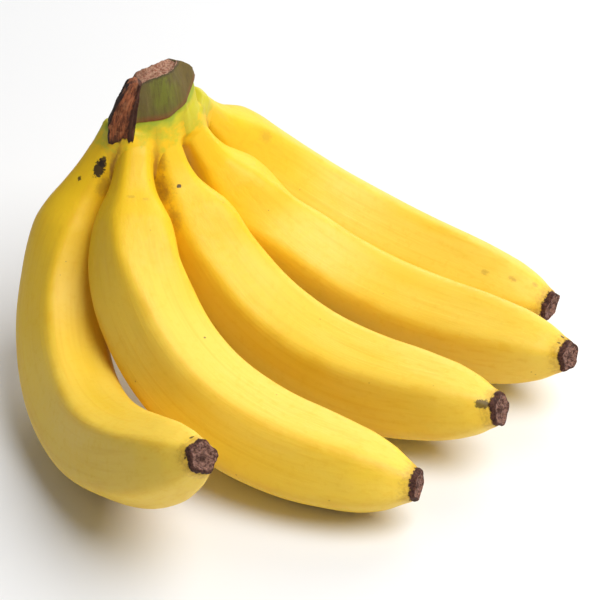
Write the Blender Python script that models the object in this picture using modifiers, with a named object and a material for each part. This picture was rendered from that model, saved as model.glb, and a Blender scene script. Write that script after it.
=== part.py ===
"""A bunch of five bananas on one crown, lying on the table on their bellies.

Metres, +Z up. The origin is on the table, under the middle of the bunch. The crown is raised at
the -X side, and the fingers fan out of it, curve down to the table and turn up a little at their tips.
Every finger is one solid from its neck to its dried blossom end. The crown is one solid too: a block
of stalk tissue, the fused starts of the five necks, and a dried scar where other fingers were torn off.
"""

import math

import bmesh
import bpy
import numpy as np

# --- Fingers ---------------------------------------------------------------------------------
# Each finger: name, length along its middle, half width, heading at the crown, heading at the tip,
# rise at the tip, and the share of its length where it bends most. A heading is degrees from +X
# towards +Y, and a rise is degrees above level.
FINGERS = (
    ("banana_1", 0.222, 0.0172, -162, -48, 37, 0.40),
    ("banana_2", 0.199, 0.0191, -103, -20, 3, 0.44),
    ("banana_3", 0.190, 0.0185, -58, -29, 13, 0.41),
    ("banana_4", 0.200, 0.0180, 28, -36, 12, 0.38),
    ("banana_5", 0.199, 0.0177, 67, -47, 7, 0.40),
)
LEADER = 1  # the finger that lies as it will, and beside which the others are laid
NECK_RADIUS = 0.0054
TIP_RADIUS = 0.0064
ROLLS = (4, 0, -3, 3, -4)  # each finger's own turn about its length, in degrees

# How a finger grows from its neck to its full width and back down to its tip. Each point is the
# share of the length, and the share of the way from the end's radius to the half width.
SHOULDER = (
    (0.0, 0.0),
    (0.05, 0.08),
    (0.085, 0.12),
    (0.12, 0.21),
    (0.15, 0.38),
    (0.19, 0.63),
    (0.26, 0.85),
    (0.37, 0.97),
    (0.5, 1.0),
)
TAPER = ((0.5, 1.0), (0.62, 1.0), (0.76, 0.94), (0.88, 0.72), (0.94, 0.44), (0.98, 0.12), (1.0, 0.0))

BEND_SPREAD = 0.39  # share of the length over which a finger bends
RIBS = 5  # blunt ribs along a finger, with flatter faces between them
RIB_SHARPNESS = 5  # a larger number makes the ribs sharper

# --- Crown -----------------------------------------------------------------------------------
# Places along the row of necks are counted in necks: 0 is the first one and 4 the last.
ROW_CENTRE = (-0.0661, 0.0675)  # the middle of the row's arc in plan
ROW_MIDDLE = -53  # heading of the middle neck from there, in degrees
ROW_HEIGHT = 0.09632  # of the start of the necks over the table
ROW_TURN = 25  # degrees of arc from one neck to the next
ROW_OVERLAP = 0.0002  # how far two neighbouring necks run into each other at the crown
FUSED_LENGTH = 0.010  # how far down its neck each finger is still part of the crown

# The block's top edge: place, and height above the start of the necks.
CROWN_TOP = ((0.1, 0.014), (0.8, 0.0215), (1.6, 0.0245), (2.3, 0.024), (3.0, 0.021), (3.6, 0.013))
CROWN_FOOT = 0.001  # the block starts this far above the start of the necks
CROWN_THICKNESS = 0.0130
CROWN_TOP_THICKNESS = 0.0085
CROWN_BULGE = 0.0010  # the faces stand out this much half way up
CROWN_GATHER = 2.0  # the place along the row towards which the top draws in
CROWN_DRAW_IN = 0.74  # length of the top over length of the foot
CROWN_EDGE = 0.0012  # bevel along the crown's edges
STUB_LENGTH = 0.010  # each neck's root reaches this far up into the block
STUB_SHRINK = 0.7  # its radius there, over the neck's radius

# The torn scar from its hanging end up: place along the row, height above the start of the necks,
# half width, and how far its face stands out from the row.
SCAR_SHAPE = (
    (0.48, -0.0010, 0.0048, 0.0092),
    (0.52, 0.0060, 0.0052, 0.0096),
    (0.68, 0.0140, 0.0042, 0.0085),
    (0.95, 0.0215, 0.0024, 0.0062),
)
SCAR_DEPTH = 0.0060
SCAR_ROUND = 0.0018  # its edges fall back this far
SCAR_FLAT = 0.6  # the share of its width that stays flat

# --- Fits ------------------------------------------------------------------------------------
NECK_GAP = 0.0003  # between a finger and its neck's start on the crown
SIDE_GAPS = (0.0005, 0.0006, 0.0011, 0.0004)  # from each finger to the next, where they come closest

# --- Resolution ------------------------------------------------------------------------------
SPINE_STEPS = 60  # steps along a finger's middle line
SKIN_RINGS = 25  # sections that carry a finger's skin
RING_SIDES = 20
SHARP_ANGLE = 35  # an edge that turns more than this many degrees is a real one
SOLVER_STEPS = 28  # halvings, when a finger is laid down or pushed aside
DIP_RANGE = (20, 88)  # how steeply a finger may leave the crown
TURN_RANGE = (-30, 90)  # how far a finger may be turned away from its neighbour
HELD_LENGTH = 0.024  # up to here a neck's place is set by the crown, past it by its neighbour

PEEL = ("peel", (0.90, 0.68, 0.07), 0.45)
STALK = ("dried_stalk", (0.23, 0.17, 0.08), 0.80)


def direction(heading, rise):
    """Unit vector that points along a heading and above the level by a rise, both in degrees."""
    turn, lift = math.radians(heading), math.radians(rise)
    return np.array([math.cos(turn) * math.cos(lift), math.sin(turn) * math.cos(lift), math.sin(lift)])


def smooth_through(points, at):
    """Value at a place on the curve through points, with no overshoot between them."""
    x, y = np.array(points, float).T
    run, slope = np.diff(x), np.diff(y) / np.diff(x)
    product, total = slope[1:] * slope[:-1], slope[1:] + slope[:-1]
    inner = np.divide(2 * product, total, out=np.zeros_like(total), where=product > 0)
    tangent = np.concatenate([[slope[0]], inner, [slope[-1]]])
    at = np.clip(at, x[0], x[-1])
    k = np.clip(np.searchsorted(x, at, side="right") - 1, 0, len(run) - 1)
    t = (at - x[k]) / run[k]
    eased = y[k] + (y[k + 1] - y[k]) * t * t * (3 - 2 * t)
    return eased + run[k] * t * (1 - t) * (tangent[k] * (1 - t) - tangent[k + 1] * t)


def half_width(share, widest):
    """A finger's mean radius at a share of its length."""
    shoulder = NECK_RADIUS + (widest - NECK_RADIUS) * smooth_through(SHOULDER, share)
    taper = TIP_RADIUS + (widest - TIP_RADIUS) * smooth_through(TAPER, share)
    return np.where(share < TAPER[0][0], shoulder, taper)


def rounded_polygon(angle):
    """Radius of a five-sided section with blunt ribs. Angle 0 is the middle of a flatter face."""
    faces = np.arange(RIBS) * 2 * math.pi / RIBS
    reach = np.maximum(np.cos(np.subtract.outer(angle, faces)), 0)
    return (reach**RIB_SHARPNESS).sum(axis=-1) ** (-1 / RIB_SHARPNESS)


RIB_MEAN = float(rounded_polygon(np.linspace(0, 2 * math.pi, 360)).mean())
RIB_TOP = float(rounded_polygon(math.pi / RIBS)) / RIB_MEAN  # a rib's radius over the mean radius


class Finger:
    """A finger's middle line and skin, from its numbers, its root and how steeply it leaves it."""

    def __init__(self, number, root, dip, turn=0.0):
        self.name, self.length, self.widest, start, end, rise, bend_at = FINGERS[number]
        self.roll, self.dip = math.radians(ROLLS[number]), dip
        first = direction(start + turn, -dip)
        last = direction(end + turn, rise)
        bend = math.acos(float(first @ last))
        self.share = np.linspace(0, 1, SPINE_STEPS + 1)
        eased = np.tanh((self.share - bend_at) / BEND_SPREAD)
        eased = (eased - eased[0]) / (eased[-1] - eased[0])
        along = np.sin((1 - eased) * bend)[:, None] * first + np.sin(eased * bend)[:, None] * last
        self.along = along / np.linalg.norm(along, axis=1)[:, None]
        steps = (self.along[1:] + self.along[:-1]) / 2 * self.length / SPINE_STEPS
        self.middle = root + np.vstack([np.zeros(3), np.cumsum(steps, axis=0)])
        side = np.cross(first, last)
        self.side = side / np.linalg.norm(side)
        self.inner = np.cross(self.side, self.along)
        self.radius = half_width(self.share, self.widest)

    def between(self, line, share):
        """A point of a line that has one point for each step of the spine."""
        return np.array([np.interp(share, self.share, line[:, axis]) for axis in range(3)])

    def section(self, share):
        """Ring of skin points at a share of the length, in order round the middle line."""
        angle = np.arange(RING_SIDES) * 2 * math.pi / RING_SIDES
        radius = half_width(np.array(share), self.widest) / RIB_MEAN
        reach = (radius * rounded_polygon(angle - self.roll))[:, None]
        inward = np.cos(angle)[:, None] * self.between(self.inner, share)
        return self.between(self.middle, share) + reach * (inward + np.sin(angle)[:, None] * self.side)

    def skin(self, start):
        """The rings of the skin from a distance along the finger to its tip."""
        return [self.section(share) for share in np.linspace(start / self.length, 1, SKIN_RINGS)]

    def clearance(self, other):
        """Smallest distance from this finger's skin to the other's, past the necks."""
        points = np.concatenate(self.skin(HELD_LENGTH))
        apart = points[:, None] - other.middle[None]
        nearest = np.linalg.norm(apart, axis=2).argmin(axis=1)
        offset = points - other.middle[nearest]
        inward = (offset * other.inner[nearest]).sum(axis=1)
        across = offset @ other.side
        section = rounded_polygon(np.arctan2(across, inward) - other.roll) / RIB_MEAN
        return float((np.hypot(inward, across) - other.radius[nearest] * section).min())


def bisect(too_small, low, high):
    """The value between low and high where too_small turns from true to false."""
    for _ in range(SOLVER_STEPS):
        middle = (low + high) / 2
        if too_small(middle):
            low = middle
        else:
            high = middle
    return (low + high) / 2


def lowest(finger):
    """Height of the lowest point of a finger's skin."""
    return min(float(ring[:, 2].min()) for ring in finger.skin(FUSED_LENGTH + NECK_GAP))


def row_arc():
    """Radius of the arc on which the necks leave the crown."""
    spacing = 2 * NECK_RADIUS * RIB_TOP - ROW_OVERLAP
    return spacing / (2 * math.sin(math.radians(ROW_TURN) / 2))


def on_row(place, out=0.0, height=0.0):
    """The point at a place along the row of necks, that far outside its arc and that high."""
    at = math.radians(ROW_MIDDLE + ROW_TURN * (place - (len(FINGERS) - 1) / 2))
    reach = row_arc() + out
    return np.array([ROW_CENTRE[0] + reach * math.cos(at), ROW_CENTRE[1] + reach * math.sin(at), height])


def lay_down(number):
    """A finger whose root is on the crown, dipped until its belly touches the table."""
    root = on_row(number, height=ROW_HEIGHT)
    return Finger(number, root, bisect(lambda dip: lowest(Finger(number, root, dip)) > 0, *DIP_RANGE))


def lay_beside(number, neighbour, gap, away):
    """A finger laid down and turned about its root until it is a gap away from its neighbour."""
    laid = lay_down(number)
    root, dip = laid.middle[0], laid.dip

    def too_near(turn):
        finger = Finger(number, root, dip, away * turn)
        return min(finger.clearance(neighbour), neighbour.clearance(finger)) < gap

    return Finger(number, root, dip, away * bisect(too_near, *TURN_RANGE))


def lay_fingers():
    """The five fingers in order: each lies on the table, close beside its neighbour."""
    laid = {LEADER: lay_down(LEADER)}
    for number in range(LEADER + 1, len(FINGERS)):
        laid[number] = lay_beside(number, laid[number - 1], SIDE_GAPS[number - 1], 1)
    for number in reversed(range(LEADER)):
        laid[number] = lay_beside(number, laid[number + 1], SIDE_GAPS[number], -1)
    return [laid[number] for number in range(len(FINGERS))]


def loft(rings):
    """Closed bmesh through rings of points, with a flat face at each end."""
    mesh = bmesh.new()
    loops = [[mesh.verts.new(point) for point in ring] for ring in rings]
    for low, high in zip(loops, loops[1:]):
        for k in range(len(low)):
            after = (k + 1) % len(low)
            mesh.faces.new((low[k], low[after], high[after], high[k]))
    mesh.faces.new(reversed(loops[0]))
    mesh.faces.new(loops[-1])
    bmesh.ops.recalc_face_normals(mesh, faces=mesh.faces)
    return mesh


def material(name, colour, roughness):
    made = bpy.data.materials.new(name)
    made.use_nodes = True
    shader = made.node_tree.nodes["Principled BSDF"]
    shader.inputs["Base Color"].default_value = (*colour, 1)
    shader.inputs["Roughness"].default_value = roughness
    shader.inputs["Metallic"].default_value = 0
    return made


def add_object(name, mesh, finish, collection):
    """Object from a bmesh, shaded smooth with its real edges kept sharp."""
    data = bpy.data.meshes.new(name)
    mesh.to_mesh(data)
    mesh.free()
    data.materials.append(finish)
    data.shade_smooth()
    data.set_sharp_from_angle(angle=math.radians(SHARP_ANGLE))
    made = bpy.data.objects.new(name, data)
    collection.objects.link(made)
    return made


def banana(finger):
    """One banana, from where its neck leaves the crown's fused part to its flat, dried tip."""
    return loft(finger.skin(FUSED_LENGTH + NECK_GAP))


def crown_block():
    """Curved block of stalk tissue over the necks, highest past its middle and drawn in at the top."""
    rings = []
    for place in np.linspace(CROWN_TOP[0][0], CROWN_TOP[-1][0], 2 * len(FINGERS) + 1):
        above = CROWN_GATHER + (place - CROWN_GATHER) * CROWN_DRAW_IN
        halfway = (place + above) / 2
        foot = ROW_HEIGHT + CROWN_FOOT
        top = ROW_HEIGHT + float(smooth_through(CROWN_TOP, place))
        middle = (foot + top) / 2
        side, top_side = CROWN_THICKNESS / 2, CROWN_TOP_THICKNESS / 2
        belly = (side + top_side) / 2 + CROWN_BULGE
        rings.append(
            [
                on_row(place, side, foot),
                on_row(halfway, belly, middle),
                on_row(above, top_side, top),
                on_row(above, -top_side, top),
                on_row(halfway, -belly, middle),
                on_row(place, -side, foot),
            ]
        )
    return loft(rings)


def neck_start(finger):
    """The part of a neck that belongs to the crown, with a root that reaches up into the block."""
    ring = finger.section(0.0)
    back = finger.middle[0] - STUB_LENGTH * finger.along[0]
    root = back + (ring - finger.middle[0]) * STUB_SHRINK
    end = FUSED_LENGTH / finger.length
    return loft([root, ring, finger.section(end / 2), finger.section(end)])


def torn_scar():
    """Dried, fibrous face on the first finger's side, where a further cluster was torn off."""
    rings = []
    for place, lift, half, reach in SCAR_SHAPE:
        at = on_row(place, height=ROW_HEIGHT + lift)
        outward = on_row(place, 1) - on_row(place)
        sideways = np.cross((0, 0, 1), outward)
        edge = reach - SCAR_ROUND
        back = reach - SCAR_DEPTH
        flat = SCAR_FLAT
        outline = ((reach, flat), (edge, 1), (back, 1), (back, -1), (edge, -1), (reach, -flat))
        rings.append([at + outward * out + sideways * half * across for out, across in outline])
    return loft(rings)


def join(target, name, mesh, finish, collection):
    """Boolean union of one more closed shape into the target."""
    bmesh.ops.triangulate(mesh, faces=mesh.faces)
    piece = add_object(name, mesh, finish, collection)
    piece.hide_render = True
    piece.display_type = "WIRE"
    union = target.modifiers.new("joins " + name, "BOOLEAN")
    union.operation = "UNION"
    union.object = piece


def build():
    for old in list(bpy.data.objects):
        bpy.data.objects.remove(old)
    parts = bpy.data.collections.new("banana_bunch")
    joined = bpy.data.collections.new("crown_pieces")
    for collection in (parts, joined):
        bpy.context.scene.collection.children.link(collection)
    peel, stalk = material(*PEEL), material(*STALK)
    fingers = lay_fingers()
    for finger in fingers:
        add_object(finger.name, banana(finger), peel, parts)
    crown = add_object("crown", crown_block(), stalk, parts)
    bevel = crown.modifiers.new("worn edges", "BEVEL")
    bevel.width = CROWN_EDGE
    bevel.segments = 2
    bevel.limit_method = "ANGLE"
    bevel.angle_limit = math.radians(SHARP_ANGLE)
    join(crown, "scar", torn_scar(), stalk, joined)
    for finger in fingers:
        join(crown, "neck_of_" + finger.name, neck_start(finger), stalk, joined)


build()
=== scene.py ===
import math

import bpy
import numpy as np
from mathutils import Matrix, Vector


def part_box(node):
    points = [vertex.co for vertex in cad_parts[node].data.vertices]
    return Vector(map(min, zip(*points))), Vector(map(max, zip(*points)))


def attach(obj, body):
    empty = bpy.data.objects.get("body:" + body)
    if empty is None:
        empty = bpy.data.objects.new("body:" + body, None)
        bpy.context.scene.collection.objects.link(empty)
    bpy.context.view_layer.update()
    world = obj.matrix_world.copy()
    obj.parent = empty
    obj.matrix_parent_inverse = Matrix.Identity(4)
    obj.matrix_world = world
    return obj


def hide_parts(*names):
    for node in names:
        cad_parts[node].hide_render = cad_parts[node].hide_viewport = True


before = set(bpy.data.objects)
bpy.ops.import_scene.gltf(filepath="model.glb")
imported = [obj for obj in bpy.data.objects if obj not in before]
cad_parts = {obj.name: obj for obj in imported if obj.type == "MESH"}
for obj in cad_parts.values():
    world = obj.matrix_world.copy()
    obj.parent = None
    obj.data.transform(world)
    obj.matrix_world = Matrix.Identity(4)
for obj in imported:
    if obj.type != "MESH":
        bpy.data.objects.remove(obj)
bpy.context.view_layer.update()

# A bunch of five bananas on one crown, lying on its bellies. Metres, +Z up, in the CAD part's frame.
# Lengths inside the crown's field and in the mesh attributes are in millimetres.

# --- Design values shared with the CAD part --------------------------------------------------
# Each finger: name, length, half width, heading and dip at the crown, heading and rise at the tip,
# and the share of its length where it bends most. Degrees.
FINGERS = (
    ("banana_1", 0.222, 0.0172, -163.061, 66.235, -49.061, 37, 0.40),
    ("banana_2", 0.199, 0.0191, -103.0, 49.363, -20.0, 3, 0.44),
    ("banana_3", 0.190, 0.0185, -57.563, 71.539, -28.563, 13, 0.41),
    ("banana_4", 0.200, 0.0180, 27.570, 67.414, -36.430, 12, 0.38),
    ("banana_5", 0.199, 0.0177, 69.183, 48.725, -44.817, 7, 0.40),
)
NECK_RADIUS = 0.0054
TIP_RADIUS = 0.0056
SHOULDER = (
    (0.0, 0.0),
    (0.05, 0.08),
    (0.085, 0.12),
    (0.12, 0.21),
    (0.15, 0.38),
    (0.19, 0.63),
    (0.26, 0.85),
    (0.37, 0.97),
    (0.5, 1.0),
)
TAPER = ((0.5, 1.0), (0.62, 1.0), (0.76, 0.94), (0.88, 0.72), (0.94, 0.44), (0.98, 0.12), (1.0, 0.0))
BEND_SPREAD = 0.39
RIBS = 5
RIB_SHARPNESS = 5
ROW_CENTRE = (-0.0661, 0.0675)
ROW_MIDDLE = -53
ROW_HEIGHT = 0.09632
ROW_TURN = 25
ROW_OVERLAP = 0.0002
CROWN_TOP = ((0.1, 13.5), (0.8, 21.4), (1.6, 22.7), (2.3, 23.2), (2.65, 23.5), (3.2, 18.6))
CROWN_FOOT = ((0.0, 5.8), (1.6, 5.4), (2.3, 7.5), (3.0, 14.0), (3.3, 17.0))
CROWN_ENDS = (0.12, 3.25)
CUT_PLACES = (0.5, 2.62)
CROWN_SIDE, CROWN_TOP_SIDE, CROWN_BULGE = 6.5, 4.25, 1.0
CROWN_GATHER = 2.6
CROWN_DRAW_IN = 0.79
CROWN_PEAK, CROWN_PEAK_REACH, CROWN_LEAN = 2.6, 0.4, 3.4  # the outer face leans back to a point there
# From its hanging end up: place along the row, height, half width and reach.
SCAR_SHAPE = ((0.48, -1.0, 4.8, 9.2), (0.52, 6.0, 5.2, 9.6), (0.68, 14.0, 4.2, 8.5), (0.95, 21.5, 2.4, 6.2))

# --- Resolution ------------------------------------------------------------------------------
SPINE_STEPS = 400
RING_SIDES = 132
RING_STEP = 0.0009
TIP_STEP = 0.00035
TIP_LENGTH, RIM_INSET = 0.009, 0.0004  # the last stretch, with closer rings, and its end inside the tip
FIELD_STEP = 0.00045
FIELD_COARSE = 4

# --- Detail of the skin ----------------------------------------------------------------------
SKIN_START = 0.003  # a finger's skin starts inside the crown
CRUST_LENGTH = 0.0024  # of the dried blossom end
BODY_SHARPNESS = 7.5  # of the ribs where a finger is thick
RIB_HEIGHT, RIB_VARIATION = 0.00026, 0.00012  # of the fine crest on each rib
RIB_SPREAD = 0.15  # of that crest, in radians
SLOW_HEIGHT, FLUTE_HEIGHT = 0.00028, 0.00010  # of the skin's slow swells, and of the neck's faint fluting
LOBE_HEIGHT, LUMP_HEIGHT, CRUMB_HEIGHT = 0.00022, 0.00034, 0.00018  # of the blossom end's crust
GROOVE_DEPTH, GROOVE_WIDTH = 0.00030, 0.0005  # round the start of that crust
PUCKER_HEIGHT, PUCKER_LENGTH = 0.00016, 0.008  # of the skin just before it
# The blossom end's face: share of its radius, and height there in millimetres.
FACE_PROFILE = (
    (0, -0.2),
    (0.12, -0.35),
    (0.3, -0.95),
    (0.5, -1.0),
    (0.7, -0.55),
    (0.85, -0.05),
    (0.95, 0.1),
    (1, 0),
)
FACE_RINGS = (0.965, 0.91, 0.85, 0.79, 0.73, 0.67, 0.60, 0.53, 0.46, 0.39, 0.32, 0.25, 0.18, 0.10)
PATTERN_STEP = np.array([310.0, 57.0, 91.0])  # keeps one finger's pattern apart from the next one's
# How far each finger's ribs turn about its length, in degrees, at these shares of it.
ROLL_SHARES = (0.0, 0.2, 0.38, 0.72, 1.0)
ROLLS = (
    (6, 10, 8, 22, 36),
    (-8, -14, -32, -33, -38),
    (30, 28, 22, 19, 14),
    (20, 22, 4, 5, 4),
    (0, 0, -4, -4, -4),
)
# How far each neck is crowded along the row, which fades out between these shares of the length.
NECK_SHIFTS = (0.0042, 0.0006, -0.0022, -0.0024, -0.0034)
NECK_SHIFT_SHARES = (0.34, 0.06)
# How far the far part of each finger leans towards the front, which grows between these shares.
SLACK = (0.0024, 0.0032, 0.0026, 0, 0)
SLACK_SHARES = (0.25, 0.75)
WIDTHS = (1.0, 0.955, 0.985, 1.0, 1.0)  # of the ribbed body, over the CAD's half width
# Places where a finger swells: distance, angle, reach along and round it, and height. Metres, degrees.
SWELLS = (
    ((0.034, 120, 0.020, 60, 0.0054),),
    ((0.036, -10, 0.016, 55, 0.0020), (0.030, 170, 0.012, 50, 0.0008)),
    ((0.028, 145, 0.018, 60, 0.0022), (0.038, -20, 0.013, 55, 0.0024)),
    ((0.036, -70, 0.013, 55, 0.0016), (0.030, 120, 0.014, 50, 0.0014), (0.062, -45, 0.012, 50, -0.0012)),
    ((0.032, -85, 0.018, 55, 0.0018), (0.030, 110, 0.014, 50, 0.0012)),
)
BELLY_SHARES = (0.15, 0.5)  # where a finger may be lifted or lowered a little, to touch the table
# The last stretch of a finger turns aside and down by this much, in degrees.
TIP_TURNS = ((0, 0), (0, 0), (0, 0), (0, 0), (22, 12))
TIP_TURN_SHARE = 0.80


def direction(heading, rise):
    turn, lift = math.radians(heading), math.radians(rise)
    return np.array([math.cos(turn) * math.cos(lift), math.sin(turn) * math.cos(lift), math.sin(lift)])


def smooth_through(points, at):
    """Value at a place on the curve through points, with no overshoot between them."""
    x, y = np.array(points, float).T
    run, slope = np.diff(x), np.diff(y) / np.diff(x)
    product, total = slope[1:] * slope[:-1], slope[1:] + slope[:-1]
    inner = np.divide(2 * product, total, out=np.zeros_like(total), where=product > 0)
    tangent = np.concatenate([[slope[0]], inner, [slope[-1]]])
    at = np.clip(at, x[0], x[-1])
    k = np.clip(np.searchsorted(x, at, side="right") - 1, 0, len(run) - 1)
    t = (at - x[k]) / run[k]
    eased = y[k] + (y[k + 1] - y[k]) * t * t * (3 - 2 * t)
    return eased + run[k] * t * (1 - t) * (tangent[k] * (1 - t) - tangent[k + 1] * t)


def half_width(share, widest):
    shoulder = NECK_RADIUS + (widest - NECK_RADIUS) * smooth_through(SHOULDER, share)
    taper = TIP_RADIUS + (widest - TIP_RADIUS) * smooth_through(TAPER, share)
    return np.where(share < TAPER[0][0], shoulder, taper)


def rounded_polygon(angle, sharpness=RIB_SHARPNESS):
    total = 0.0
    for face in range(RIBS):
        total = total + np.maximum(np.cos(angle - face * 2 * math.pi / RIBS), 0) ** sharpness
    return total ** (-1 / sharpness)


RIB_MEAN = float(rounded_polygon(np.linspace(0, 2 * math.pi, 360)).mean())
BODY_MEAN = float(rounded_polygon(np.linspace(0, 2 * math.pi, 360), BODY_SHARPNESS).mean())
RIB_TOP = float(rounded_polygon(math.pi / RIBS)) / RIB_MEAN
ROW_ARC = (2 * NECK_RADIUS * RIB_TOP - ROW_OVERLAP) / (2 * math.sin(math.radians(ROW_TURN) / 2))


def step_between(value, low, high):
    """0 below low, 1 above high, and smooth between them. low may be above high."""
    t = np.clip((value - low) / (high - low), 0, 1)
    return t * t * (3 - 2 * t)


HASH = (73856093, 19349663, 83492791, 2654435761, 1274126177)  # large primes, to mix grid places


def noise(points, size, seed=0):
    """Smooth noise from -1 to 1 at points, with lumps of about the given size on each axis."""
    scaled = points / np.asarray(size, float)
    cell = np.floor(scaled)
    t = scaled - cell
    t = t * t * (3 - 2 * t)
    cell = cell.astype(np.int64)
    total = 0.0
    for corner in range(8):
        bits = np.array([corner & 1, corner >> 1 & 1, corner >> 2])
        at = cell + bits
        mixed = at[..., 0] * HASH[0] ^ at[..., 1] * HASH[1] ^ at[..., 2] * HASH[2] ^ (seed + 1) * HASH[3]
        mixed = (mixed ^ mixed >> 13) * HASH[4] & 0xFFFFFFFF
        mixed = (mixed ^ mixed >> 16) & 0xFFFF
        weight = np.where(bits, t, 1 - t).prod(axis=-1)
        total = total + weight * (mixed / 32767.5 - 1)
    return total


class Finger:
    """A finger's middle line, as in the CAD part, and its detailed skin."""

    def __init__(self, number):
        self.number = number
        self.name, self.length, self.widest, start, dip, end, rise, bend_at = FINGERS[number]
        turn = math.radians(ROW_MIDDLE + ROW_TURN * (number - (len(FINGERS) - 1) / 2))
        outward = np.array([math.cos(turn), math.sin(turn), 0])
        root = np.array([*ROW_CENTRE, ROW_HEIGHT]) + ROW_ARC * outward
        first, last = direction(start, -dip), direction(end, rise)
        bend = math.acos(float(first @ last))
        self.share = np.linspace(0, 1, SPINE_STEPS + 1)
        eased = np.tanh((self.share - bend_at) / BEND_SPREAD)
        eased = (eased - eased[0]) / (eased[-1] - eased[0])
        along = np.sin((1 - eased) * bend)[:, None] * first + np.sin(eased * bend)[:, None] * last
        side = np.cross(first, last)
        aside, down = np.radians(TIP_TURNS[number])
        late = step_between(self.share, TIP_TURN_SHARE, 1.1)[:, None]
        along = along / np.linalg.norm(along, axis=1)[:, None]
        along = along + late * (aside * np.array([-last[1], last[0], 0]) - down * np.array([0, 0, 1]))
        self.along = along / np.linalg.norm(along, axis=1)[:, None]
        steps = (self.along[1:] + self.along[:-1]) / 2 * self.length / SPINE_STEPS
        self.middle = root + np.vstack([np.zeros(3), np.cumsum(steps, axis=0)])
        crowded = NECK_SHIFTS[number] * step_between(self.share, *NECK_SHIFT_SHARES)
        self.middle = self.middle + crowded[:, None] * np.array([-math.sin(turn), math.cos(turn), 0])
        self.middle[:, 1] -= SLACK[number] * step_between(self.share, *SLACK_SHARES)
        self.side = side / np.linalg.norm(side)
        self.inner = np.cross(self.side, self.along)
        self.inner = self.inner / np.linalg.norm(self.inner, axis=1)[:, None]

    def roll(self, at):
        return np.radians(smooth_through(list(zip(ROLL_SHARES, ROLLS[self.number])), at / self.length))

    def on(self, line, at):
        """Points of a line that has one point for each step of the spine, at distances along it."""
        share = np.asarray(at) / self.length
        return np.stack([np.interp(share, self.share, line[:, axis]) for axis in range(3)], axis=-1)

    def radius(self, at, angle):
        """Distance from the middle line to the skin, at a distance along it and an angle round it."""
        share = np.clip(at / self.length, 0, 1)
        mean = half_width(share, self.widest)
        turned = angle - self.roll(at)
        body = step_between(share, 0.10, 0.3) * step_between(share, 0.98, 0.8)
        soft = rounded_polygon(turned) / RIB_MEAN
        sharp = rounded_polygon(turned, BODY_SHARPNESS) / BODY_MEAN
        radius = mean * (soft + (sharp * WIDTHS[self.number] - soft) * body)
        for place, facing, reach, spread, height in SWELLS[self.number]:
            away = np.angle(np.exp(1j * (angle - math.radians(facing)))) / math.radians(spread)
            radius = radius + height * np.exp(-(((at - place) / reach) ** 2) - away**2)
        # Each rib has its own height, and stands out most where the finger is thick.
        for rib in range(RIBS):
            away = np.angle(np.exp(1j * (turned - (rib + 0.5) * 2 * math.pi / RIBS)))
            height = RIB_HEIGHT + RIB_VARIATION * math.sin(3.1 * rib + 1.7 * self.number)
            radius = radius + body * height * np.exp(-((away / RIB_SPREAD) ** 2))
        # Slow swells, and a faint fluting of the neck.
        unbent = np.stack([at, mean * np.cos(angle), mean * np.sin(angle)], axis=-1)
        slow = SLOW_HEIGHT * noise(unbent, (0.034, 0.022, 0.022), self.number)
        radius = radius + slow * step_between(share, 0.04, 0.16)
        return radius + FLUTE_HEIGHT * noise(unbent, (0.016, 0.0042, 0.0042), 10 + self.number)


def attribute(mesh, name, values):
    values = np.asarray(values, np.float32)
    if values.ndim == 2:
        made = mesh.attributes.new(name, "FLOAT_VECTOR", "POINT")
        made.data.foreach_set("vector", values.ravel())
    else:
        made = mesh.attributes.new(name, "FLOAT", "POINT")
        made.data.foreach_set("value", values.ravel())


def add_piece(name, points, faces, finish, attributes):
    mesh = bpy.data.meshes.new(name)
    mesh.from_pydata(points.tolist(), [], faces)
    for key, values in attributes.items():
        attribute(mesh, key, values)
    mesh.materials.append(finish)
    mesh.shade_smooth()
    mesh.update()
    made = bpy.data.objects.new(name + "_skin", mesh)
    bpy.context.scene.collection.objects.link(made)
    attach(made, "root")
    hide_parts(name)


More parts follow.
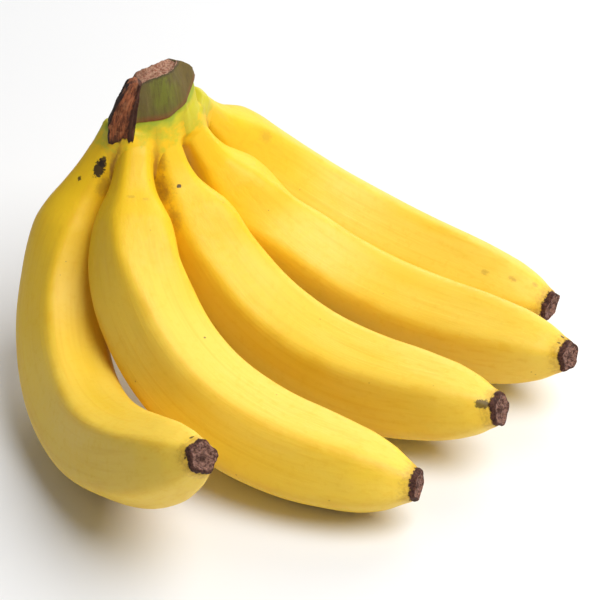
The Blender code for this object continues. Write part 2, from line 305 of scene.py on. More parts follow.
def banana(finger, finish):
    """One banana: its skin down to the dried, lumpy blossom end, as one closed mesh."""
    end = finger.length
    crust_start = end - CRUST_LENGTH
    dense = end - TIP_LENGTH
    body = np.linspace(SKIN_START, dense, int((dense - SKIN_START) / RING_STEP), endpoint=False)
    tip_rings = np.linspace(dense, end - RIM_INSET, int((TIP_LENGTH - RIM_INSET) / TIP_STEP))
    at = np.concatenate([body, tip_rings])
    angle = np.arange(RING_SIDES) * 2 * math.pi / RING_SIDES
    s, a = np.meshgrid(at, angle, indexing="ij")
    radius = finger.radius(s, a)
    # The crust: a shallow groove, then five dried lobes with crumbled edges.
    round_it = np.stack([0 * s, 0.006 * np.cos(a), 0.006 * np.sin(a)], -1)
    ring_wobble = 0.0005 * noise(round_it, 0.004, 40 + finger.number)
    crust = step_between(s + ring_wobble, crust_start - 0.0002, crust_start + 0.0004)
    groove = np.exp(-(((s + ring_wobble - crust_start) / GROOVE_WIDTH) ** 2))
    lump_at = np.stack([s, radius * np.cos(a), radius * np.sin(a)], -1)
    lobes = LOBE_HEIGHT * np.cos(RIBS * a + finger.number)
    lumps = LUMP_HEIGHT * noise(lump_at, (0.0030, 0.0021, 0.0021), 50 + finger.number)
    crumbs = CRUMB_HEIGHT * noise(lump_at, 0.0009, 60 + finger.number)
    radius = radius - GROOVE_DEPTH * groove + crust * (lobes + lumps + crumbs - 0.0002)
    # The skin just before it is a little puckered.
    pucker = step_between(s, crust_start - PUCKER_LENGTH, crust_start) * (1 - crust)
    radius = radius + pucker * PUCKER_HEIGHT * noise(lump_at, (0.02, 0.0018, 0.0018), 70 + finger.number)
    middle, inner = finger.on(finger.middle, at), finger.on(finger.inner, at)
    rings = middle[:, None] + radius[..., None] * (
        np.cos(a)[..., None] * inner[:, None] + np.sin(a)[..., None] * finger.side
    )
    # It lies on the table by its lowest point.
    lowest = rings[..., 2].min()
    finger.middle[:, 2] -= lowest * step_between(finger.share, *BELLY_SHARES)
    rings[..., 2] -= (lowest * step_between(at / end, *BELLY_SHARES))[:, None]
    unbent = np.stack([s, radius * np.cos(a), radius * np.sin(a)], -1)
    # The end face: a rounded rim round a rough hollow with a small knob.
    share = np.array(FACE_RINGS)
    profile = np.interp(share, *np.array(FACE_PROFILE).T) * 0.001
    q, qa = np.meshgrid(share, angle, indexing="ij")
    edge = radius[-1]
    flat = np.stack([0 * q, q * edge * np.cos(qa), q * edge * np.sin(qa)], -1)
    rough = 0.00042 * noise(flat, 0.0017, 80 + finger.number)
    rough = rough + 0.00022 * noise(flat, 0.0008, 90 + finger.number)
    lift = at[-1] + profile[:, None] + rough * step_between(q, 1.0, 0.85)
    tip, tip_along = finger.middle[-1], finger.along[-1]
    face = (
        tip
        + (lift - end)[..., None] * tip_along
        + flat[..., 1:2] * finger.inner[-1]
        + flat[..., 2:3] * finger.side
    )
    start_centre = finger.on(finger.middle, at[0])
    centre = tip + (at[-1] - end - 0.0002) * tip_along
    points = np.concatenate([rings.reshape(-1, 3), face.reshape(-1, 3), [start_centre, centre]])
    count = len(at) + len(share)
    first = np.arange(count * RING_SIDES).reshape(count, RING_SIDES)
    after = np.roll(first, -1, axis=1)
    quads = np.stack([first[:-1], after[:-1], after[1:], first[1:]], -1).reshape(-1, 4)
    start, last = len(points) - 2, len(points) - 1
    faces = [tuple(face) for face in quads.tolist()]
    faces += [(start, int(b), int(c)) for b, c in zip(after[0], first[0])]
    faces += [(last, int(b), int(c)) for b, c in zip(first[-1], after[-1])]
    end_unbent = np.stack([lift, flat[..., 1], flat[..., 2]], -1)
    ends = [[at[0], 0, 0], [end, 0, 0]]
    unbent = np.concatenate([unbent.reshape(-1, 3), end_unbent.reshape(-1, 3), ends]) * 1000
    skin = unbent + finger.number * PATTERN_STEP
    away = np.angle(np.exp(1j * RIBS * (a - finger.roll(s) - math.pi / RIBS))) / RIBS
    rib = np.exp(-((away / 0.13) ** 2))
    tail = np.zeros(len(share) * RING_SIDES)
    rib = np.concatenate([rib.ravel(), tail, [0, 0]])
    edge_at = (s + ring_wobble - crust_start).ravel() * 1000
    crust = np.concatenate([edge_at, tail + CRUST_LENGTH * 1000, [-100, CRUST_LENGTH * 1000]])
    inward = np.concatenate([0 * s.ravel(), 1 - q.ravel(), [0, 1]])
    shown = {"skin": skin, "along": unbent[:, 0], "rib": rib, "crust": crust, "inward": inward}
    add_piece(finger.name, points, faces, finish, shown)


# --- Crown -----------------------------------------------------------------------------------
def soft_min(a, b, k):
    h = np.clip(0.5 + 0.5 * (b - a) / k, 0, 1)
    return b + (a - b) * h - k * h * (1 - h)


def soft_max(a, b, k):
    return -soft_min(-a, -b, k)


def row_coordinates(points):
    """Place along the row of necks, distance outside its arc and height above it, in mm."""
    x, y = points[:, 0] - ROW_CENTRE[0], points[:, 1] - ROW_CENTRE[1]
    turn = np.degrees(np.arctan2(y, x)) - ROW_MIDDLE
    turn = (turn + 180) % 360 - 180
    place = turn / ROW_TURN + (len(FINGERS) - 1) / 2
    return place, (np.hypot(x, y) - ROW_ARC) * 1000, (points[:, 2] - ROW_HEIGHT) * 1000


# How far the crown's outer face stands out along the row: broad facets that meet in low ridges.
FACETS = (
    (-0.4, 0.80),
    (0.1, 0.92),
    (0.7, 1.03),
    (1.2, 0.93),
    (1.75, 1.06),
    (2.1, 0.99),
    (2.45, 1.08),
    (2.85, 0.93),
    (3.3, 0.80),
)
NECK_REACH = (6.0, 8.0, 9.0, 11.0, 12.0)  # how far up into the stalk each neck goes on
STAND_INSET, STAND_FOOT = 0.7, -4.0  # of the skin under the stalk, in from its faces and from the row
COLLAR_END = 33.0  # how far down each neck the crown's mesh goes on, under the finger's skin
WEB = 5.5  # how far neighbouring necks run together below the crown
NECK_STEP = 1000 * ROW_ARC * math.radians(ROW_TURN)


def block_field(place, out, height):
    """Distances to the block of stalk tissue and to the skin it stands on, and how far inside its cut."""
    t = np.clip(height / 20, 0, 1)
    for _ in range(2):
        foot_place = CROWN_GATHER + (place - CROWN_GATHER) / (1 - (1 - CROWN_DRAW_IN) * t)
        top = smooth_through(CROWN_TOP, foot_place)
        t = np.clip((height - 1) / (top - 1), 0, 1)
    half = CROWN_SIDE + (CROWN_TOP_SIDE - CROWN_SIDE) * t + CROWN_BULGE * 4 * t * (1 - t)
    facet = np.interp(foot_place, *np.array(FACETS).T)
    grain = np.stack([place * NECK_STEP, out, height], -1)
    lumps = 0.30 * noise(grain, (5.0, 5.0, 8.0), 21) + 0.13 * noise(grain, (1.1, 1.3, 9.0), 22)
    lean = CROWN_LEAN * t * np.exp(-(((foot_place - CROWN_PEAK) / CROWN_PEAK_REACH) ** 2))
    front = out - half * facet + lean + lumps
    back = -out - half + lumps
    skin = soft_max(front, back, 1.0)
    # The cut: a rough, fibrous top between the scar and the last facet. Past it the skin closes over.
    cut = step_between(foot_place, 0.35, 0.6) * step_between(foot_place, 2.75, 2.55)
    rough = 0.34 * noise(grain, (1.5, 1.2, 3.0), 23) + 0.2 * noise(grain, (0.7, 0.6, 2.0), 24)
    # The cut dips a little inside its rim of skin.
    hollow = cut * (0.9 * step_between(-np.maximum(front, back), 0.4, 2.2) + rough * 0.8)
    tilt = np.interp(foot_place, (1.0, 2.2, 2.8), (-0.10, 0.0, 0.25))
    top_field = (height - top - tilt * np.clip(out, -6, 6)) * 0.86 + hollow + (1 - cut) * lumps
    rounding = 0.75 - 0.35 * cut
    field = soft_max(skin, top_field, rounding)
    stretch = (ROW_ARC * 1000 + out) / (ROW_ARC * 1000) * NECK_STEP
    low_end = (CROWN_ENDS[0] - foot_place) * stretch + lumps
    high_end = (foot_place - CROWN_ENDS[1]) * stretch + lumps
    ends = soft_max(low_end, high_end, 1.0)
    field = soft_max(field, ends, 0.7)
    foot = (smooth_through(CROWN_FOOT, place) - height) * 0.85 + 0.25 * noise(grain, 3.5, 25)
    field = soft_max(field, foot, 0.5)
    # Under it the necks' skin runs together.
    stand = soft_max(skin, ends, 2.0) + STAND_INSET
    stand = soft_max(stand, soft_max(-foot - 1.6, STAND_FOOT - height, 1.0), 1.5)
    inside_cut = np.minimum(foot_place - CUT_PLACES[0], CUT_PLACES[1] - foot_place) * NECK_STEP
    inside_cut = np.minimum(inside_cut, top_field - skin - 0.1)
    return field, stand, inside_cut


def scar_field(points, height):
    """Distance to the torn scar: a slab with a rim, a double ridge and a ragged hanging end."""
    rows = np.array(SCAR_SHAPE)
    at = np.clip(height, rows[0, 1], rows[-1, 1])
    centre, half, reach = (np.interp(at, rows[:, 1], rows[:, k]) for k in (0, 2, 3))
    turn = np.radians(ROW_MIDDLE + ROW_TURN * (centre - (len(FINGERS) - 1) / 2))
    x = (points[:, 0] - ROW_CENTRE[0]) * 1000
    y = (points[:, 1] - ROW_CENTRE[1]) * 1000
    outward = x * np.cos(turn) + y * np.sin(turn) - ROW_ARC * 1000
    across = -x * np.sin(turn) + y * np.cos(turn)
    grain = np.stack([across, outward, height], -1)
    wobble = 0.45 * noise(grain, (3.0, 3.0, 3.5), 31)
    fibres = 0.30 * noise(grain, (0.8, 2.0, 6.0), 32) + 0.22 * noise(grain, (1.9, 2.0, 2.2), 33)
    # The face is sunken between a thin left rim and a thick double ridge at the right.
    right = across / half
    ridge = 0.95 * np.exp(-(((right - 0.66) / 0.13) ** 2))
    ridge = ridge + 0.85 * np.exp(-(((right - 0.98) / 0.10) ** 2))
    rim = 0.5 * np.exp(-(((right + 0.97) / 0.10) ** 2))
    face = outward - (reach - 0.9 + ridge + rim) + fibres
    sides = np.abs(across) - half + wobble
    back = -outward + reach - 6.0
    ragged = 1.9 * noise(grain, (1.5, 3.0, 30.0), 34) + 1.1 * step_between(np.abs(right), 0.5, 1.0)
    bottom = rows[0, 1] - 0.3 - ragged * 0.8 - height
    top = height - rows[-1, 1] + 0.6 * np.abs(right) + wobble
    behind = soft_max(back, soft_max(bottom, top, 0.6), 0.6)
    field = soft_max(soft_max(face, sides, 0.7), behind, 0.6)
    return field, right, grain


def neck_fields(fingers, points):
    """For each neck: distance to its collar, and its own unbent coordinates, in mm."""
    found = []
    for finger in fingers:
        s = np.zeros(len(points))
        for _ in range(3):
            middle = finger.on(finger.middle, s)
            along = finger.on(finger.along, s)
            s = s + ((points - middle) * along).sum(-1)
        straight = np.minimum(s, 0)
        middle = finger.on(finger.middle, s) + straight[:, None] * finger.along[0]
        offset = points - middle
        inward = (offset * finger.on(finger.inner, s)).sum(-1)
        across = offset @ finger.side
        angle = np.arctan2(across, inward)
        at = s * 1000
        radius = finger.radius(np.clip(s, 0, COLLAR_END / 1000 + 0.002), angle) * 1000
        radius = radius * (1 + 0.018 * np.minimum(at, 0))
        collar = 0.10 + 0.55 * np.exp(-np.maximum(at, 0) / 3.2) - 1.1 * step_between(at, 5.0, 15.5)
        sunk = 1.5 * step_between(at, COLLAR_END - 7, COLLAR_END)
        field = np.hypot(inward, across) * 1000 - radius - collar + sunk
        field = soft_max(field, at - COLLAR_END, 1.0)
        field = soft_max(field, -NECK_REACH[finger.number] - at, 2.0)
        found.append((field, np.stack([at, radius * np.cos(angle), radius * np.sin(angle)], -1)))
    return found


def crown_field(fingers, points):
    """The crown's distance field in mm, and what its surface shows at each point."""
    place, out, height = row_coordinates(points)
    block, stand, cut = block_field(place, out, height)
    scar, right, scar_grain = scar_field(points, height)
    fields = neck_fields(fingers, points)
    blend = 1.6 + WEB * step_between(height, -31.0, -17.0) + 1.5 * step_between(height, -6.0, 2.0)
    necks = fields[0][0]
    for field, _ in fields[1:]:
        necks = soft_min(necks, field, blend)
    necks = soft_min(necks, stand, 3.5)
    # The cut stalk ends in a thin line over the necks.
    field = soft_min(block, necks, 0.9) + 0.22 * np.exp(-(((block - necks) / 0.45) ** 2))
    body = field
    field = soft_min(field, scar, 0.35)
    stack = np.array([f for f, _ in fields])
    nearest = stack.argmin(axis=0)
    unbent = np.choose(nearest[:, None], [u for _, u in fields])
    skin = unbent + nearest[:, None] * PATTERN_STEP
    second = np.sort(stack, axis=0)
    return field, {
        "skin": skin,
        "along": unbent[:, 0],
        "grain": np.stack([place * NECK_STEP, out, height], -1),
        "scar_grain": scar_grain,
        "over_neck": necks - block,
        "over_scar": body - scar,
        "cut": cut,
        "across_scar": right,
        "crease": second[1] - second[0],
    }


def surface_net(field, origin, step):
    """Closed quads where a grid's field changes sign."""
    inside = field < 0
    shape = np.array(field.shape)
    total, count = np.zeros((field.size, 3)), np.zeros(field.size)
    quads = []
    stride = np.array([shape[1] * shape[2], shape[2], 1])
    for axis in range(3):
        low = [slice(None)] * 3
        high = [slice(None)] * 3
        low[axis], high[axis] = slice(0, -1), slice(1, None)
        low, high = tuple(low), tuple(high)
        at = np.argwhere(inside[low] != inside[high])
        at = at[(at > 0).all(axis=1) & (at < shape - 2).all(axis=1)]
        a = field[at[:, 0], at[:, 1], at[:, 2]]
        ahead = at.copy()
        ahead[:, axis] += 1
        b = field[ahead[:, 0], ahead[:, 1], ahead[:, 2]]
        crossing = at.astype(float)
        crossing[:, axis] += a / (a - b)
        u, v = (axis + 1) % 3, (axis + 2) % 3
        cell = at @ stride
        around = [cell, cell - stride[u], cell - stride[u] - stride[v], cell - stride[v]]
        for one in around:
            count += np.bincount(one, minlength=field.size)
            for k in range(3):
                total[:, k] += np.bincount(one, weights=crossing[:, k], minlength=field.size)
        quad = np.stack(around, -1)
        quads.append(np.where((a < 0)[:, None], quad, quad[:, ::-1]))
    used = np.flatnonzero(count)
    place = np.full(field.size, -1)
    place[used] = np.arange(len(used))
    points = total[used] / count[used][:, None] * step + origin
    return points, place[np.concatenate(quads)]


def crown(fingers, finish):
    low, high = np.array(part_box("crown")[0]) - 0.004, np.array(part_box("crown")[1]) + 0.003
    low[2] -= 0.026
    coarse = FIELD_STEP * FIELD_COARSE
    cells = np.ceil((high - low) / coarse).astype(int)
    axes = [low[k] + coarse * (np.arange(cells[k]) + 0.5) for k in range(3)]
    centres = np.stack(np.meshgrid(*axes, indexing="ij"), -1).reshape(-1, 3)
    rough = crown_field(fingers, centres)[0].reshape(cells)
    near = np.abs(rough) < 2.4
    wanted = near.repeat(FIELD_COARSE, 0).repeat(FIELD_COARSE, 1).repeat(FIELD_COARSE, 2)
    field = np.sign(rough).repeat(FIELD_COARSE, 0).repeat(FIELD_COARSE, 1).repeat(FIELD_COARSE, 2) * 5.0
    at = np.argwhere(wanted)
    origin = low + FIELD_STEP / 2
    field[wanted] = crown_field(fingers, origin + at * FIELD_STEP)[0]
    points, quads = surface_net(field, origin, FIELD_STEP)
    # Each point is drawn onto the field's surface, for even shading.
    reach = 0.00005
    for _ in range(2):
        here = crown_field(fingers, points)[0]
        slope = np.stack(
            [crown_field(fingers, points + reach * np.eye(3)[k])[0] - here for k in range(3)], -1
        ) / (reach * 1000)
        size = np.maximum((slope**2).sum(-1), 0.3)
        move = np.clip(-here / size, -0.15, 0.15)[:, None] * slope / 1000
        points = points + move * 0.8
    shown = crown_field(fingers, points)[1]
    add_piece("crown", points, quads.tolist(), finish, shown)


# --- Materials -------------------------------------------------------------------------------
class Tree:
    """A material's nodes, made by short calls that return sockets."""

    def __init__(self, name):
        self.material = bpy.data.materials.new(name)
        self.material.use_nodes = True
        self.nodes = self.material.node_tree.nodes
        self.links = self.material.node_tree.links
        self.shader = self.nodes["Principled BSDF"]

    def put(self, socket, value):
        if isinstance(value, bpy.types.NodeSocket):
            self.links.new(value, socket)
        elif value is not None:
            socket.default_value = value

    def read(self, name):
        node = self.nodes.new("ShaderNodeAttribute")
        node.attribute_name = name
        return node

    def vector(self, name):
        return self.read(name).outputs["Vector"]

    def number(self, name):
        return self.read(name).outputs["Fac"]

    def scaled(self, vector, scale):
        node = self.nodes.new("ShaderNodeVectorMath")
        node.operation = "MULTIPLY"
        self.put(node.inputs[0], vector)
        self.put(node.inputs[1], scale)
        return node.outputs["Vector"]

    def noise(self, vector, scale, detail=2.0, roughness=0.5, distortion=0.0):
        node = self.nodes.new("ShaderNodeTexNoise")
        self.put(node.inputs["Vector"], vector)
        node.inputs["Scale"].default_value = scale
        node.inputs["Detail"].default_value = detail
        node.inputs["Roughness"].default_value = roughness
        node.inputs["Distortion"].default_value = distortion
        return node.outputs["Fac"]

    def cells(self, vector, scale):
        node = self.nodes.new("ShaderNodeTexVoronoi")
        self.put(node.inputs["Vector"], vector)
        node.inputs["Scale"].default_value = scale
        return node.outputs["Distance"]

    def math(self, operation, a, b=None, c=None, clamp=False):
        node = self.nodes.new("ShaderNodeMath")
        node.operation = operation
        node.use_clamp = clamp
        for socket, value in zip(node.inputs, (a, b, c)):
            self.put(socket, value)
        return node.outputs[0]

    def remap(self, value, low, high, to_low=0.0, to_high=1.0, smooth=True):
        node = self.nodes.new("ShaderNodeMapRange")
        node.interpolation_type = "SMOOTHSTEP" if smooth else "LINEAR"
        for socket, given in zip(node.inputs, (value, low, high, to_low, to_high)):
            self.put(socket, given)
        return node.outputs[0]

    def mix(self, share, a, b, blend="MIX"):
        node = self.nodes.new("ShaderNodeMix")
        node.data_type = "RGBA"
        node.blend_type = blend
        self.put(node.inputs[0], share)
        for socket, value in ((node.inputs[6], a), (node.inputs[7], b)):
            self.put(socket, (*value, 1) if isinstance(value, tuple) else value)
        return node.outputs[2]

    def distance(self, vector, point):
        node = self.nodes.new("ShaderNodeVectorMath")
        node.operation = "DISTANCE"
        self.put(node.inputs[0], vector)
        self.put(node.inputs[1], point)
        return node.outputs["Value"]

    def bump(self, height, distance, strength=1.0, normal=None):
        node = self.nodes.new("ShaderNodeBump")
        self.put(node.inputs["Height"], height)
        node.inputs["Distance"].default_value = distance
        node.inputs["Strength"].default_value = strength
        if normal is not None:
            self.put(node.inputs["Normal"], normal)
        return node.outputs["Normal"]


RIPE = (0.87, 0.545, 0.009)
# Paler body yellow: partly the peel's own tone, partly a painted sheen.
RIPE_PALE_AND_SHEEN = (0.89, 0.61, 0.070)
RIPE_DEEP = (0.76, 0.42, 0.007)
GREEN = (0.50, 0.50, 0.022)
DEEP_GREEN = (0.24, 0.36, 0.025)
BRUISE = (0.30, 0.13, 0.020)
MARK = (0.018, 0.008, 0.005)
PAINTED_SHADE = (0.32, 0.14, 0.012)  # painted shade on a finger's face beside its neighbour's neck
SOFTNESS = {MARK: 0.25, BRUISE: 0.75, PAINTED_SHADE: 1.0}
BROWNED = (0.40, 0.19, 0.02)
CRUST_DARK, CRUST_LIGHT, CRUST_CORE = (0.030, 0.009, 0.006), (0.12, 0.046, 0.028), (0.045, 0.016, 0.010)
FACE_DARK, FACE_LIGHT = (0.075, 0.030, 0.020), (0.30, 0.155, 0.110)
# Painted shade for the creases between necks.
CREASE_SHADE = (0.34, 0.13, 0.012)
STALK_BROWN, STALK_GREEN = (0.135, 0.105, 0.030), (0.155, 0.165, 0.022)
STALK_RIGHT, STALK_FIBRE = (0.135, 0.085, 0.026), (0.085, 0.060, 0.024)
CUT_DARK, CUT_LIGHT = (0.22, 0.085, 0.045), (0.44, 0.25, 0.165)
CUT_SPECK, CUT_RIM = (0.26, 0.055, 0.020), (0.05, 0.03, 0.016)
EDGE_LINE = (0.24, 0.065, 0.026)
SCAR_DARK, SCAR_LIGHT, SCAR_PALE = (0.085, 0.022, 0.009), (0.36, 0.110, 0.042), (0.38, 0.16, 0.075)
SCAR_RIDGE, SCAR_RIM, SCAR_END = (0.035, 0.012, 0.008), (0.018, 0.008, 0.006), (0.030, 0.011, 0.007)
FLOOR = (0.84, 0.84, 0.84, 1)


def peel_colour(tree):
    """Ripe peel: uneven yellow, faint streaks along the finger, green by the crown, sparse freckles."""
    skin, along = tree.vector("skin"), tree.number("along")
    broad = tree.noise(tree.scaled(skin, (0.016, 0.05, 0.05)), 1.0, 2.0)
    streaks = tree.noise(tree.scaled(skin, (0.012, 0.55, 0.55)), 1.0, 3.0, 0.6)
    # The body of a finger is paler than its neck: partly its own tone, partly a painted sheen.
    on_body = tree.remap(along, 22.0, 95.0, 0.0, 1.0)
    pale = tree.math("MULTIPLY", tree.remap(broad, 0.30, 0.60, 0.45, 1.0), on_body)
    colour = tree.mix(pale, RIPE, RIPE_PALE_AND_SHEEN)
    colour = tree.mix(tree.math("MULTIPLY", tree.remap(streaks, 0.45, 0.75), 0.30), colour, RIPE_DEEP)
    mottle = tree.noise(skin, 0.35, 4.0, 0.6)
    colour = tree.mix(tree.math("MULTIPLY", tree.remap(mottle, 0.52, 0.72), 0.18), colour, RIPE_DEEP)
    patch = tree.noise(skin, 0.22, 3.0, 0.6)
    uneven = tree.math("ADD", along, tree.remap(patch, 0.25, 0.75, -7.0, 7.0, False))
    colour = tree.mix(tree.remap(uneven, 9.0, -1.0, 0.0, 0.8), colour, GREEN)
    freckle = tree.cells(tree.scaled(skin, (0.16, 0.21, 0.21)), 1.0)
    sparse = tree.noise(skin, 0.05, 1.0)
    dots = tree.math("MULTIPLY", tree.remap(freckle, 0.075, 0.035), tree.remap(sparse, 0.54, 0.62))
    colour = tree.mix(tree.math("MULTIPLY", dots, 0.6), colour, BRUISE)
    return colour, skin, along, streaks, mottle


def skin_relief(tree, skin, streaks, mottle):
    pores = tree.noise(skin, 1.6, 3.0, 0.6)
    fine = tree.bump(pores, 0.00006, 0.5)
    return tree.bump(streaks, 0.00022, 0.55, tree.bump(mottle, 0.00025, 0.4, fine))


def flesh_settings(shader):
    shader.inputs["Specular IOR Level"].default_value = 0.38
    shader.inputs["Subsurface Weight"].default_value = 0.12
    shader.inputs["Subsurface Radius"].default_value = (1.0, 0.45, 0.08)
    shader.inputs["Subsurface Scale"].default_value = 0.004


def peel_material(finger, marks):
    tree = Tree(finger.name + "_peel")
    colour, skin, _, streaks, mottle = peel_colour(tree)
    # Ribs are rubbed a little deeper in places.
    rib = tree.number("rib")
    rubbed = tree.math("MULTIPLY", rib, tree.remap(tree.noise(skin, 0.09, 3.0), 0.45, 0.7, 0.10, 0.45))
    colour = tree.mix(rubbed, colour, RIPE_DEEP)
    # The skin browns towards the dried blossom end.
    crust = tree.number("crust")
    ragged = tree.noise(skin, 0.8, 4.0, 0.65)
    near = tree.math("ADD", crust, tree.remap(ragged, 0.25, 0.75, -2.2, 2.2, False))
    colour = tree.mix(tree.remap(near, -4.0, 0.0, 0.0, 0.45), colour, BROWNED)
    # Scars, spots and patches of painted shade, one by one.
    for place, size, stretch, kind, strength in marks:
        spot_skin = tree.scaled(skin, (1 / stretch, 1.0, 1.0))
        point = (np.array(place) + finger.number * PATTERN_STEP) / (stretch, 1, 1)
        edge = tree.noise(skin, 1.1 if size < 4 else 0.5, 3.0, 0.7)
        uneven = tree.remap(edge, 0.2, 0.8, -size * 0.45, size * 0.45, False)
        gap = tree.math("ADD", tree.distance(spot_skin, point), uneven)
        colour = tree.mix(tree.remap(gap, size, size * (1 - SOFTNESS[kind]), 0.0, strength), colour, kind)
    # Crust of the blossom end: fibrous brown, paler and greyer on its face.
    fibre = tree.noise(skin, 1.1, 4.0, 0.7)
    lump = tree.noise(skin, 0.55, 2.0)
    inward = tree.math("ADD", tree.number("inward"), tree.math("MULTIPLY", lump, 0.3))
    dry = tree.mix(tree.remap(fibre, 0.35, 0.68), CRUST_DARK, CRUST_LIGHT)
    face = tree.mix(tree.remap(fibre, 0.38, 0.62), FACE_DARK, FACE_LIGHT)
    dry = tree.mix(tree.remap(inward, 0.20, 0.32), dry, face)
    dry = tree.mix(tree.remap(inward, 0.78, 0.98, 0.0, 0.7), dry, CRUST_CORE)
    edge = tree.math("ADD", crust, tree.remap(ragged, 0.3, 0.7, -0.55, 0.55, False))
    is_crust = tree.remap(edge, -0.25, 0.25)
    colour = tree.mix(is_crust, colour, dry)
    tree.put(tree.shader.inputs["Base Color"], colour)
    flesh_settings(tree.shader)
    sheen = tree.remap(mottle, 0.3, 0.7, 0.44, 0.56, False)
    sheen = tree.math("ADD", sheen, tree.math("MULTIPLY", is_crust, 0.40))
    tree.put(tree.shader.inputs["Roughness"], sheen)
    relief = skin_relief(tree, skin, streaks, mottle)
    depth = tree.math("MULTIPLY", is_crust, fibre)
    tree.put(tree.shader.inputs["Normal"], tree.bump(depth, 0.0006, 0.8, relief))
    return tree.material


def crown_material():
    tree = Tree("crown_stalk")
    grain, scar_grain = tree.vector("grain"), tree.vector("scar_grain")
    colour, skin, along, streaks, mottle = peel_colour(tree)
    over_neck, over_scar = tree.number("over_neck"), tree.number("over_scar")
    # Painted shade: brownish darkening in the creases where two necks meet.
    crease = tree.math("ADD", tree.number("crease"), tree.remap(mottle, 0.3, 0.7, -0.9, 0.9, False))
    below = tree.remap(along, 5.0, 14.0, 0.15, 0.75)
    colour = tree.mix(tree.math("MULTIPLY", tree.remap(crease, 3.0, 0.4), below), colour, CREASE_SHADE)
    # Greener skin right under the stalk's edge.
    patch = tree.noise(grain, 0.16, 2.0)
    edge = tree.math("ADD", over_neck, tree.remap(patch, 0.3, 0.7, -2.0, 2.0, False))
    colour = tree.mix(tree.remap(edge, -3.2, -0.3, 0.0, 0.75), colour, DEEP_GREEN)
    # Stalk: olive skin with greener and browner patches, and upright fibres.
    upright = tree.noise(tree.scaled(grain, (0.9, 0.9, 0.07)), 1.0, 4.0, 0.65)
    broad = tree.noise(tree.scaled(grain, (0.11, 0.11, 0.06)), 1.0, 2.0)
    split = tree.nodes.new("ShaderNodeSeparateXYZ")
    tree.put(split.inputs[0], grain)
    stalk = tree.mix(tree.remap(broad, 0.38, 0.62), STALK_BROWN, STALK_GREEN)
    to_right = tree.math("ADD", split.outputs["X"], tree.remap(broad, 0.3, 0.7, -4.0, 4.0, False))
    stalk = tree.mix(tree.remap(to_right, 22.0, 29.0, 0.0, 0.85), stalk, STALK_RIGHT)
    stalk = tree.mix(tree.remap(upright, 0.42, 0.72, 0.0, 0.55), stalk, STALK_FIBRE)
    # The cut top: pinkish tan fibres with reddish specks.
    cut = tree.number("cut")
    fibre = tree.noise(tree.scaled(grain, (1.1, 0.8, 0.5)), 1.0, 4.0, 0.7)
    top = tree.mix(tree.remap(fibre, 0.35, 0.65), CUT_DARK, CUT_LIGHT)
    speck = tree.noise(grain, 1.4, 2.0, 0.5, 0.6)
    top = tree.mix(tree.remap(speck, 0.60, 0.70, 0.0, 0.85), top, CUT_SPECK)
    cut_edge = tree.math("ADD", cut, tree.remap(fibre, 0.3, 0.7, -0.5, 0.5, False))
    stalk = tree.mix(tree.remap(cut_edge, -1.3, -0.2, 0.0, 0.75), stalk, CUT_RIM)
    stalk = tree.mix(tree.remap(cut_edge, -0.1, 0.35), stalk, top)
    # The edge over the necks is a thin reddish line.
    line = tree.remap(over_neck, -0.1, 1.3, 0.9, 0.0)
    stalk = tree.mix(line, stalk, EDGE_LINE)
    colour = tree.mix(tree.remap(over_neck, -0.25, 0.05), colour, stalk)
    # Scar: red-brown fibres, black at its rims and its ragged end.
    torn = tree.noise(tree.scaled(scar_grain, (0.9, 0.6, 0.16)), 1.0, 4.0, 0.7)
    blotch = tree.noise(scar_grain, 0.45, 3.0)
    scar = tree.mix(tree.remap(torn, 0.35, 0.66), SCAR_DARK, SCAR_LIGHT)
    scar = tree.mix(tree.remap(blotch, 0.5, 0.72, 0.0, 0.6), scar, SCAR_PALE)
    across = tree.number("across_scar")
    right = tree.math("ADD", across, tree.remap(blotch, 0.3, 0.7, -0.12, 0.12, False))
    scar = tree.mix(tree.remap(right, 0.38, 0.56, 0.0, 0.85), scar, SCAR_RIDGE)
    scar = tree.mix(tree.remap(right, -0.80, -0.93, 0.0, 0.95), scar, SCAR_RIM)
    scar_split = tree.nodes.new("ShaderNodeSeparateXYZ")
    tree.put(scar_split.inputs[0], scar_grain)
    low = tree.math("ADD", scar_split.outputs["Z"], tree.remap(torn, 0.3, 0.7, -2.0, 2.0, False))
    scar = tree.mix(tree.remap(low, 2.5, -1.5, 0.0, 0.85), scar, SCAR_END)
    is_scar = tree.remap(over_scar, -0.15, 0.15)
    colour = tree.mix(is_scar, colour, scar)
    tree.put(tree.shader.inputs["Base Color"], colour)
    flesh_settings(tree.shader)
    tree.shader.inputs["Subsurface Weight"].default_value = 0.04
    tree.shader.inputs["Specular IOR Level"].default_value = 0.35
    dull = tree.math("MAXIMUM", tree.remap(over_neck, -0.3, 0.3), is_scar)
    tree.put(tree.shader.inputs["Roughness"], tree.remap(dull, 0.0, 1.0, 0.50, 0.74, False))
    relief = skin_relief(tree, skin, streaks, mottle)
    stalk_height = tree.math("MULTIPLY", upright, dull)
    relief = tree.bump(stalk_height, 0.0005, 0.5, relief)
    scar_height = tree.math("MULTIPLY", torn, is_scar)
    tree.put(tree.shader.inputs["Normal"], tree.bump(scar_height, 0.0008, 0.7, relief))
    return tree.material


# --- Stage, light and camera -----------------------------------------------------------------
TARGET = (0.0001, -0.0047, 0.050)
CAMERA_DISTANCE, CAMERA_RISE, LENS = 0.90, 33, 146.28
WORLD_STRENGTH = 0.19
# Each lamp: name, place, size and power.
LAMPS = (("key", (0.72, -0.32, 1.28), 1.4, 27), ("back", (0.50, 1.30, 0.90), 1.4, 13))


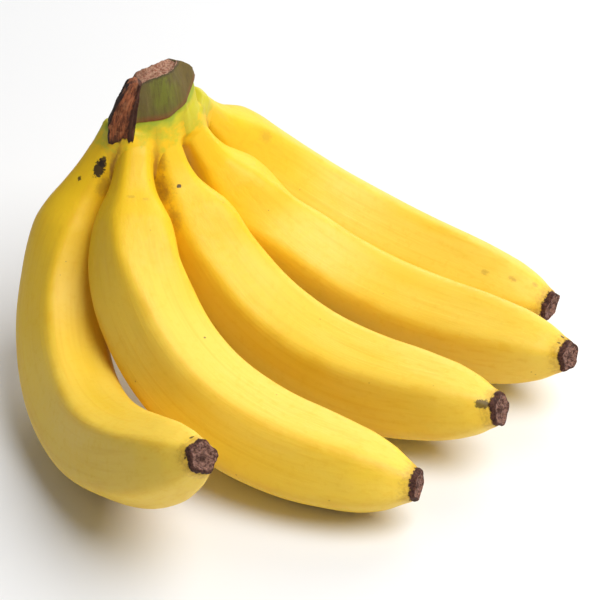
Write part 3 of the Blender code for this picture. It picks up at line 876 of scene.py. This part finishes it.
def floor():
    tree = Tree("floor")
    tree.shader.inputs["Base Color"].default_value = FLOOR
    tree.shader.inputs["Roughness"].default_value = 0.9
    tree.shader.inputs["Specular IOR Level"].default_value = 0.1
    mesh = bpy.data.meshes.new("floor")
    reach = 6.0
    corners = [(-reach, -reach, 0), (reach, -reach, 0), (reach, reach, 0), (-reach, reach, 0)]
    mesh.from_pydata(corners, [], [(0, 1, 2, 3)])
    mesh.materials.append(tree.material)
    made = bpy.data.objects.new("floor", mesh)
    bpy.context.scene.collection.objects.link(made)


def aimed(name, data, place, target):
    made = bpy.data.objects.new(name, data)
    made.location = place
    made.rotation_euler = (Vector(target) - Vector(place)).to_track_quat("-Z", "Y").to_euler()
    bpy.context.scene.collection.objects.link(made)
    return made


def lamp(name, place, size, power):
    data = bpy.data.lights.new(name, "AREA")
    data.shape = "DISK"
    data.size = size
    data.energy = power
    aimed(name, data, place, TARGET)


def studio():
    world = bpy.data.worlds.new("studio")
    world.use_nodes = True
    background = world.node_tree.nodes["Background"]
    background.inputs["Color"].default_value = (1, 1, 1, 1)
    background.inputs["Strength"].default_value = WORLD_STRENGTH
    bpy.context.scene.world = world
    for settings in LAMPS:
        lamp(*settings)
    floor()
    bpy.context.scene.view_settings.view_transform = "Standard"


def camera():
    rise = math.radians(CAMERA_RISE)
    data = bpy.data.cameras.new("camera")
    data.sensor_width = 36
    data.lens = LENS
    data.clip_start = 0.01
    place = np.array(TARGET) + CAMERA_DISTANCE * np.array([0, -math.cos(rise), math.sin(rise)])
    bpy.context.scene.camera = aimed("camera", data, place, TARGET)


# Scars, spots and patches of painted shade on each finger: place in mm along, inwards and across it, size,
# stretch along it, kind and strength.
MARKS = {
    "banana_1": (
        ((15.4, 5.4, 4.5), 2.3, 1.9, MARK, 0.95),
        ((12.3, 5.4, 4.1), 1.5, 1.6, MARK, 0.9),
        ((22.3, 1.7, 8.6), 1.0, 1.3, MARK, 0.85),
        # Painted shadow in the bruise colour, on the neck beside banana_2.
        ((21.8, 6.9, 0.8), 4.0, 1.5, BRUISE, 0.45),
        ((216.8, 6.7, 2.3), 1.0, 0.6, MARK, 0.9),
        ((55.8, 13.1, 8.5), 0.5, 1, BRUISE, 0.5),
    ),
    "banana_2": (
        ((28.4, 3.2, 9.2), 2.2, 0.45, BRUISE, 0.28),
        ((29.3, 8.2, 7.1), 2.0, 0.45, BRUISE, 0.25),
        ((96.6, 15.6, 7.9), 0.6, 1, MARK, 0.7),
        ((138.7, -15.5, 11.7), 0.5, 1, BRUISE, 0.5),
        ((43.1, 11.0, 10.6), 0.4, 1, BRUISE, 0.4),
    ),
    "banana_3": (
        ((12.1, 0.6, 6.9), 4.2, 1.8, PAINTED_SHADE, 0.7),
        ((23.8, 0.6, 9.1), 5.0, 1.8, PAINTED_SHADE, 0.8),
        ((34.2, 3.3, 13.3), 4.5, 1.8, PAINTED_SHADE, 0.6),
        ((23.8, 5.9, 6.3), 0.95, 1, MARK, 0.9),
        ((160.9, 15.4, -6.5), 0.7, 1.3, MARK, 0.75),
        ((185.3, 4.4, 6.5), 2.0, 2.2, MARK, 0.8),
        ((36.4, 16.4, -1.1), 0.5, 1, BRUISE, 0.5),
    ),
    "banana_4": (
        ((18.5, -3.1, 7.2), 3.6, 1.8, PAINTED_SHADE, 0.35),
        ((196.6, 6.1, -3.5), 0.5, 8, MARK, 0.85),
        ((196.6, 6.4, -0.2), 0.4, 6, MARK, 0.7),
        ((121.8, 14.1, -12.2), 0.5, 1, BRUISE, 0.5),
    ),
    "banana_5": (
        ((8.5, 5.1, 4.0), 3.4, 1.8, PAINTED_SHADE, 0.4),
        ((40.7, 13.1, -7.2), 3.6, 1.4, BRUISE, 0.25),
        ((46.4, 14.3, 3.6), 0.9, 1, BRUISE, 0.5),
        ((173.3, 14.0, -1.0), 1.5, 1.6, BRUISE, 0.35),
        ((183.7, 11.5, -2.9), 1.4, 1.8, BRUISE, 0.4),
        ((191.3, 8.0, -4.6), 1.2, 1.6, BRUISE, 0.4),
        ((72.4, 16.6, 3.2), 0.5, 1, BRUISE, 0.5),
    ),
}

camera()
studio()
fingers = [Finger(number) for number in range(len(FINGERS))]
for finger in fingers:
    banana(finger, peel_material(finger, MARKS[finger.name]))
crown(fingers, crown_material())
